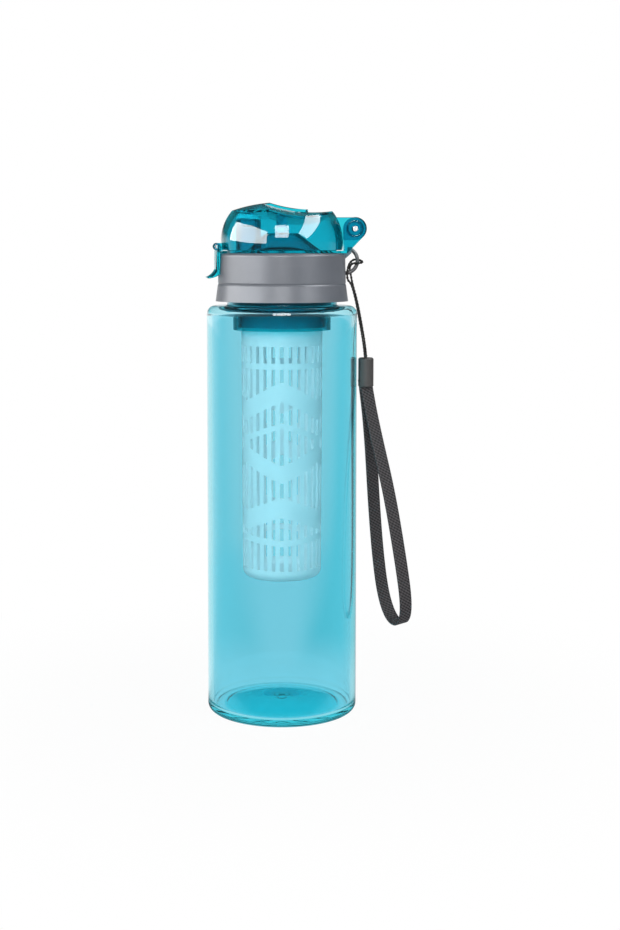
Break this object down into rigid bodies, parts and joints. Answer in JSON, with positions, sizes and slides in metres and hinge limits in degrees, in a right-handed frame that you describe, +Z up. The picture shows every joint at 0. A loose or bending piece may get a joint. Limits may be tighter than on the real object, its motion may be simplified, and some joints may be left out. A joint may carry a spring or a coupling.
{
  "type": "fruit infuser water bottle",
  "caption": "Clear tinted water bottle with a slotted fruit basket hung under its screw cap, a flip lid with a snap latch over the spout, and a wrist strap on a loop.",
  "frame": {"origin": "centre of the base on the bottle's axis, at the plane the bottle stands on", "axes": "+Z up along the bottle's axis, +X towards the lid's hinge and the strap, -X towards the latch"},
  "size_m": [0.1027, 0.072, 0.2452],
  "materials": {
    "tinted_clear": "clear cyan copolyester",
    "frosted_clear": "frosted pale blue plastic",
    "teal_clear": "glossy see-through teal plastic",
    "grey_plastic": "satin grey polypropylene",
    "dark_plastic": "satin dark grey plastic",
    "silicone": "white silicone",
    "steel": "ground stainless rod",
    "strap_fabric": "black woven polyester"
  },
  "bodies": {
    "bottle": {"bottle_body": "tinted_clear"},
    "gasket": {"neck_gasket": "silicone"},
    "cap": {"cap_collar": "grey_plastic", "cap_insert": "teal_clear", "hinge_pin": "steel", "infuser_holder": "teal_clear", "holder_o_ring": "silicone", "strap_loop": "dark_plastic", "strap_string": "strap_fabric", "strap_sleeve": "dark_plastic", "strap_webbing": "strap_fabric"},
    "lid": {"flip_lid": "teal_clear", "spout_plug": "silicone", "vent_plug": "silicone", "latch_pin": "steel"},
    "latch": {"latch_clip": "teal_clear"},
    "infuser": {"infuser_basket": "frosted_clear"}
  },
  "joints": [
    {"name": "cap_rise", "type": "slide", "parent": "bottle", "child": "gasket", "axis": [0, 0, 1], "range_m": [0, 0.006]},
    {"name": "cap_turn", "type": "hinge", "parent": "gasket", "child": "cap", "pos_m": [0, 0, 0.2085], "axis": [0, 0, 1], "range_deg": [0, 540]},
    {"name": "lid_flip", "type": "hinge", "parent": "cap", "child": "lid", "pos_m": [0.03474, 0, 0.23278], "axis": [0, 1, 0], "range_deg": [0, 170]},
    {"name": "latch_release", "type": "hinge", "parent": "lid", "child": "latch", "pos_m": [-0.031, 0, 0.2243], "axis": [0, 1, 0], "range_deg": [0, 70]},
    {"name": "infuser_pull", "type": "slide", "parent": "cap", "child": "infuser", "axis": [0, 0, -1], "range_m": [0, 0.055]}
  ],
  "couplings": [
    {"joint": "cap_turn", "follows": "cap_rise", "rad_per_m": 1570.8}
  ]
}
